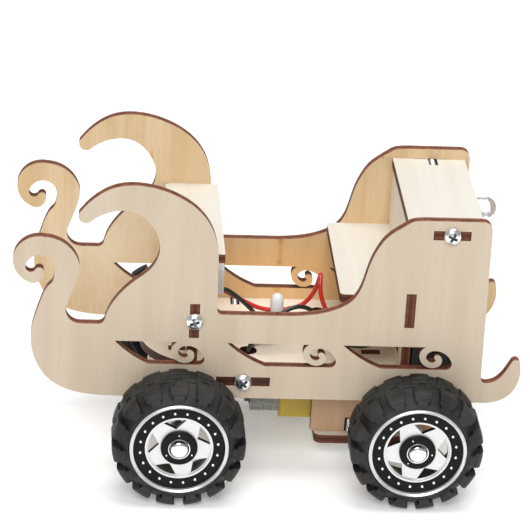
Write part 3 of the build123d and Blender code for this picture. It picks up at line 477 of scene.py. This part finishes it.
def turn_profile(bm, profile, place, steps=64):
    """Adds the closed surface that a (radius, height) profile in mm sweeps round place's local Z."""
    profile = [(radius * MM, height * MM) for radius, height in profile]
    rings = []
    for radius, height in profile:
        if radius < ON_AXIS:
            rings.append([bm.verts.new(place @ Vector((0, 0, height)))])
            continue
        ring = []
        for step in range(steps):
            angle = 2 * math.pi * step / steps
            spot = Vector((radius * math.cos(angle), radius * math.sin(angle), height))
            ring.append(bm.verts.new(place @ spot))
        rings.append(ring)
    pairs = list(zip(rings, rings[1:]))
    if len(rings[0]) > 1 and len(rings[-1]) > 1:
        pairs.append((rings[-1], rings[0]))
    for first, second in pairs:
        for step in range(steps):
            following = (step + 1) % steps
            if len(first) == 1:
                bm.faces.new((first[0], second[step], second[following]))
            elif len(second) == 1:
                bm.faces.new((first[step], first[following], second[0]))
            else:
                bm.faces.new((first[step], first[following], second[following], second[step]))


# ---- Wheels ----
FRONT_X = -28.0 * MM
REAR_X = 48.4 * MM
AXLE_Z = 21.5 * MM
WHEEL_OUT = 51.0 * MM
WHEELS = (("front", FRONT_X, 28.0), ("rear", REAR_X, 7.0))


def wheel_place(x, side):
    """Local Z runs inward along the axle from the hub cap's outer face."""
    inward = Vector((0, -side, 0))
    along = Vector((1, 0, 0))
    place = Matrix((along, inward.cross(along), inward)).transposed().to_4x4()
    place.translation = Vector((x, side * WHEEL_OUT, AXLE_Z))
    return place


# Radius and depth from the hub cap's face, in millimetres.
CARCASS = [
    (15.25, 2.1), (15.9, 2.05), (15.95, 1.2), (16.4, 0.75), (16.9, 0.95), (17.6, 1.75), (18.9, 3.0),
    (19.5, 4.5), (20.0, 6.0), (20.8, 7.3), (20.9, 11.6), (21.1, 14.4), (20.9, 15.6), (20.1, 16.7),
    (18.9, 17.3), (17.6, 17.9), (16.5, 18.2), (15.25, 17.6),
]
SHOULDER_LUG = [
    (18.6, 3.0), (18.65, 1.15), (19.6, 1.2), (20.7, 2.05), (21.35, 3.1), (21.5, 4.3), (21.5, 7.0),
    (20.0, 7.3), (19.2, 4.6),
]
TONGUE_LUG = [
    (16.8, 1.7), (16.95, 0.78), (17.6, 0.55), (18.6, 0.82), (19.2, 1.35), (19.2, 3.6), (18.0, 2.6),
]
CROWN_BLOCK = [(21.45, 7.5), (21.45, 9.3), (20.4, 9.4), (20.4, 7.3)]
LUGS = 15
LUG_HALF = math.radians(8.2)
LUG_TAPER = 0.12             # the share by which a lug is narrower at its root
TONGUE_HALF = math.radians(5.4)
CROWN_HALF = math.radians(9.2)
LUG_ROUNDING = 0.22 * MM
TYRE_DEPTH = 19.0            # the depths of a point and of its mirror image add up to this


def sweep_block(bm, outline, middle, half, place, taper=0.0):
    """Sweeps a (radius, depth) outline in mm round the axle, from middle - half to middle + half."""
    outline = [(radius * MM, depth * MM) for radius, depth in outline]
    top = max(radius for radius, _ in outline)
    low = min(radius for radius, _ in outline)
    sections = []
    for share in (-1.0, -0.33, 0.33, 1.0):
        section = []
        for radius, depth in outline:
            narrowing = 1.0 - taper * (top - radius) / (top - low)
            angle = middle + share * half * narrowing
            spot = Vector((radius * math.cos(angle), radius * math.sin(angle), depth))
            section.append(bm.verts.new(place @ spot))
        sections.append(section)
    count = len(outline)
    for first, second in zip(sections, sections[1:]):
        for index in range(count):
            following = (index + 1) % count
            bm.faces.new((first[index], first[following], second[following], second[index]))
    bm.faces.new(sections[0])
    bm.faces.new(sections[-1][::-1])


def mirrored_depth(outline):
    """The same outline on the tyre's inner shoulder."""
    return [(radius, TYRE_DEPTH - depth) for radius, depth in outline]


def make_tyre(end, name, x, side, phase):
    """A carcass with shoulder lugs, their tongues on the side walls, and two rows of crown blocks."""
    place = wheel_place(x, side)
    bm = bmesh.new()
    turn_profile(bm, CARCASS, place, 120)
    for index in range(LUGS):
        middle = math.radians(phase) + 2 * math.pi * index / LUGS
        between = middle + math.pi / LUGS
        sweep_block(bm, SHOULDER_LUG, middle, LUG_HALF, place, LUG_TAPER)
        sweep_block(bm, mirrored_depth(SHOULDER_LUG), middle, LUG_HALF, place, LUG_TAPER)
        sweep_block(bm, TONGUE_LUG, middle, TONGUE_HALF, place)
        sweep_block(bm, mirrored_depth(TONGUE_LUG), middle, TONGUE_HALF, place)
        sweep_block(bm, CROWN_BLOCK, between, CROWN_HALF, place)
        sweep_block(bm, mirrored_depth(CROWN_BLOCK), middle, CROWN_HALF, place)
    piece = finish_mesh(f"{end}_{name}_block_tyre", bm, f"{end}_wheelset", RUBBER)
    bevel = piece.modifiers.new("softened", "BEVEL")
    bevel.width = LUG_ROUNDING
    bevel.segments = 2
    bevel.limit_method = "ANGLE"
    bevel.angle_limit = math.radians(28)
    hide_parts(f"{end}_{name}_tyre")


RIVET_RING = 12.5 * MM
RIVETS = 20
RIVET_DOME = [(0.0, -0.30), (0.28, -0.24), (0.46, -0.08), (0.56, 0.22), (0.56, 0.7), (0.0, 0.7)]
RIVET_DEPTH = 1.7 * MM
SMALL_RIVET_RING = 4.7 * MM  # three small rivets round the hub cap
SMALL_RIVETS = 3
SMALL_RIVET_DEPTH = 1.35 * MM
SMALL_RIVET_SHARE = 0.6


def make_rivets(end, x, phase):
    """The studs in the rims' rings and the small ones round the hub caps, for both wheels of an axle."""
    bm = bmesh.new()
    small = [(SMALL_RIVET_SHARE * radius, SMALL_RIVET_SHARE * depth) for radius, depth in RIVET_DOME]
    for side in (-1, 1):
        place = wheel_place(x, side)
        for profile, count, ring, depth, steps in (
            (RIVET_DOME, RIVETS, RIVET_RING, RIVET_DEPTH, 14),
            (small, SMALL_RIVETS, SMALL_RIVET_RING, SMALL_RIVET_DEPTH, 12),
        ):
            for index in range(count):
                angle = math.radians(phase) + 2 * math.pi * index / count
                spot = Vector((ring * math.cos(angle), ring * math.sin(angle), depth))
                turn_profile(bm, profile, place @ Matrix.Translation(spot), steps)
    piece = finish_mesh(f"{end}_domed_rivets", bm, f"{end}_wheelset", CHROME)
    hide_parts(f"{end}_wheel_rivets")


HUB_DOME = [
    (0.0, 0.0), (1.6, 0.03), (2.3, 0.16), (2.62, 0.42), (2.66, 0.75), (2.60, 1.0), (2.60, 2.7), (0.0, 2.7),
]
HUB_RING = [(3.15, 1.5), (3.15, 1.12), (3.3, 0.98), (3.5, 1.08), (3.6, 1.3), (3.6, 1.7)]


def make_hub(end, x):
    """A domed cap and the raised ring round it, for both wheels of an axle."""
    bm = bmesh.new()
    for side in (-1, 1):
        place = wheel_place(x, side)
        for profile in (HUB_DOME, HUB_RING):
            turn_profile(bm, profile, place, 64)
    piece = finish_mesh(f"{end}_domed_hub_caps", bm, f"{end}_wheelset", CHROME)
    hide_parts(f"{end}_hub_caps")


for end, x, phase in WHEELS:
    for name, side in (("left", -1), ("right", 1)):
        make_tyre(end, name, x, side, phase)
    make_rivets(end, x, phase)
    make_hub(end, x)


# ---- Screws ----
SCREW_HEAD = [
    (0.0, 2.05), (0.9, 2.03), (1.7, 1.86), (2.35, 1.52), (2.75, 1.05), (2.93, 0.5), (2.93, 0.0), (1.2, 0.0),
]
SCREW_TIP = 8.0
THREAD_RADII = (1.44, 1.2)   # crest and root
THREAD_TOP = -0.5
THREAD_STEP = 0.25           # half the pitch
THREAD_STEPS = 29
THREADS = [(THREAD_RADII[step % 2], THREAD_TOP - THREAD_STEP * step) for step in range(THREAD_STEPS)]
SCREW_PROFILE = SCREW_HEAD + THREADS + [(0.9, -SCREW_TIP), (0.0, -SCREW_TIP)]
RECESS_ARM = (3.7, 0.95)     # the cross recess: span and width at the top
RECESS_TOP = 2.2             # above the head, so that the cut is clean
RECESS_FLOOR = 0.55
RECESS_END = (0.34, 0.75)    # shares of the span and the width that are left at its floor
SIDE_SEATS = [((-24.0, 31.0, 57.8), 18.0), ((-7.5, 31.0, 36.5), 40.0), ((56.3, 31.0, 89.7), 63.0)]
FLOOR_SEATS = [((30.0, 10.9, 6.0), 25.0)]


def recess_cutter():
    """Two crossed wedges that narrow towards the bottom of the recess."""
    bm = bmesh.new()
    span, width = RECESS_ARM
    for turn in (0, math.pi / 2):
        corners = []
        for (span_share, width_share), height in (((1.0, 1.0), RECESS_TOP), (RECESS_END, RECESS_FLOOR)):
            half_x = span / 2 * span_share * MM
            half_y = width / 2 * width_share * MM
            for sign_x, sign_y in ((-1, -1), (1, -1), (1, 1), (-1, 1)):
                spot = Vector((sign_x * half_x, sign_y * half_y, height * MM))
                spot.rotate(Matrix.Rotation(turn, 3, "Z"))
                corners.append(bm.verts.new(spot))
        top, bottom = corners[:4], corners[4:]
        bm.faces.new(top)
        bm.faces.new(bottom[::-1])
        for index in range(4):
            following = (index + 1) % 4
            bm.faces.new((top[index], bottom[index], bottom[following], top[following]))
    bmesh.ops.recalc_face_normals(bm, faces=bm.faces)
    mesh = bpy.data.meshes.new("recess")
    bm.to_mesh(mesh)
    bm.free()
    # The recess's cut faces take this painted shade.
    mesh.materials.append(RECESS_PAINTED_SHADE)
    cutter = bpy.data.objects.new("recess", mesh)
    bpy.context.scene.collection.objects.link(cutter)
    return cutter


def screw_master():
    """One pan-head screw with a cross recess, standing on the origin along +Z."""
    bm = bmesh.new()
    turn_profile(bm, SCREW_PROFILE, Matrix.Identity(4), 40)
    bmesh.ops.recalc_face_normals(bm, faces=bm.faces)
    mesh = bpy.data.meshes.new("screw_blank")
    bm.to_mesh(mesh)
    bm.free()
    mesh.materials.append(ZINC)
    blank = bpy.data.objects.new("screw_blank", mesh)
    bpy.context.scene.collection.objects.link(blank)
    cutter = recess_cutter()
    cut = blank.modifiers.new("recess", "BOOLEAN")
    cut.operation = "DIFFERENCE"
    cut.solver = "EXACT"
    cut.use_self = True
    cut.material_mode = "TRANSFER"
    cut.object = cutter
    bpy.context.view_layer.update()
    shape = bpy.data.meshes.new_from_object(blank.evaluated_get(bpy.context.evaluated_depsgraph_get()))
    bpy.data.objects.remove(blank)
    bpy.data.objects.remove(cutter)
    return shape


def make_screws():
    """A mirrored pair at each seat: three pairs in the side panels and one in the bracket floor."""
    shape = screw_master()
    bm = bmesh.new()
    places = []
    for (x, y, z), spin in SIDE_SEATS:
        for side in (-1, 1):
            places.append((Vector((x, side * y, z)), Vector((0, side, 0)), spin))
    for (x, y, z), spin in FLOOR_SEATS:
        for side in (-1, 1):
            places.append((Vector((x, side * y, z)), Vector((0, 0, -1)), spin))
    for seat, outward, spin in places:
        turned = outward.to_track_quat("Z", "Y").to_matrix().to_4x4()
        place = Matrix.Translation(seat * MM) @ turned @ Matrix.Rotation(math.radians(spin), 4, "Z")
        before = len(bm.verts)
        bm.from_mesh(shape)
        bm.verts.ensure_lookup_table()
        bmesh.ops.transform(bm, matrix=place, verts=bm.verts[before:])
    piece = finish_mesh("cross_head_screws", bm, "chassis", ZINC)
    piece.data.materials.append(RECESS_PAINTED_SHADE)
    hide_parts("joint_screws")


make_screws()


# ---- Wire cap ----
CAP_AT = (4.2, -5.5, 46.3)
CAP_PROFILE = [
    (0.0, 2.0), (1.5, 2.0), (1.6, 0.0), (1.9, 0.0), (1.85, 1.4), (1.75, 2.4), (1.95, 3.3), (2.18, 4.6),
    (2.24, 6.2), (2.12, 7.6), (1.7, 8.8), (1.0, 9.5), (0.0, 9.7),
]


def make_wire_cap():
    """A closed-end cap, crimped near its mouth, that joins two leads."""
    bm = bmesh.new()
    place = Matrix.Translation(Vector(CAP_AT) * MM)
    turn_profile(bm, CAP_PROFILE, place, 40)
    piece = finish_mesh("crimped_wire_cap", bm, "chassis", MILKY, 1.0)
    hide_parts("wire_cap")


make_wire_cap()


# ---- Studio ----
FLOOR_GLOW = 0.19            # the floor is a lit table, as in a catalogue picture
FLOOR_HALF = 3.0


def make_floor():
    """A wide sheet of plain pale paper."""
    bm = bmesh.new()
    corners = ((-1, -1), (1, -1), (1, 1), (-1, 1))
    bm.faces.new([bm.verts.new((x * FLOOR_HALF, y * FLOOR_HALF, 0)) for x, y in corners])
    mesh = bpy.data.meshes.new("floor")
    bm.to_mesh(mesh)
    bm.free()
    floor = bpy.data.objects.new("floor", mesh)
    bpy.context.scene.collection.objects.link(floor)
    material, tree, shader = new_material("floor_paper", {
        "Roughness": 0.75, "Specular IOR Level": 0.2,
        "Emission Color": (1.0, 1.0, 1.0, 1.0), "Emission Strength": FLOOR_GLOW,
    })
    paper = noise(tree, (3, 3, 3), 2.0)
    colour = ramp(tree, paper, [(0.3, (0.93, 0.93, 0.93)), (0.7, (0.94, 0.94, 0.94))])
    tree.links.new(colour, shader.inputs["Base Color"])
    mesh.materials.append(material)


def make_light(name, at, target, size, watts):
    """A soft box at a place, turned to a target."""
    data = bpy.data.lights.new(name, "AREA")
    data.shape = "RECTANGLE"
    data.size, data.size_y = size
    data.energy = watts
    lamp = bpy.data.objects.new(name, data)
    lamp.location = at
    lamp.rotation_mode = "QUATERNION"
    lamp.rotation_quaternion = (Vector(target) - Vector(at)).to_track_quat("-Z", "Y")
    bpy.context.scene.collection.objects.link(lamp)


def make_world(strength):
    """Even white light from all round."""
    world = bpy.data.worlds.new("studio")
    world.use_nodes = True
    background = world.node_tree.nodes["Background"]
    background.inputs["Color"].default_value = (1.0, 1.0, 1.0, 1.0)
    background.inputs["Strength"].default_value = strength
    bpy.context.scene.world = world


make_floor()
make_world(0.40)
make_light("top_softbox", (0.1, 0.0, 1.4), (0, 0, 0.03), (0.9, 0.9), 12.5)
make_light("front_softbox", (-0.2, -1.4, 1.3), (0, 0, 0.04), (0.9, 0.9), 19.0)
bpy.context.scene.view_settings.view_transform = "Standard"

bpy.context.view_layer.update()
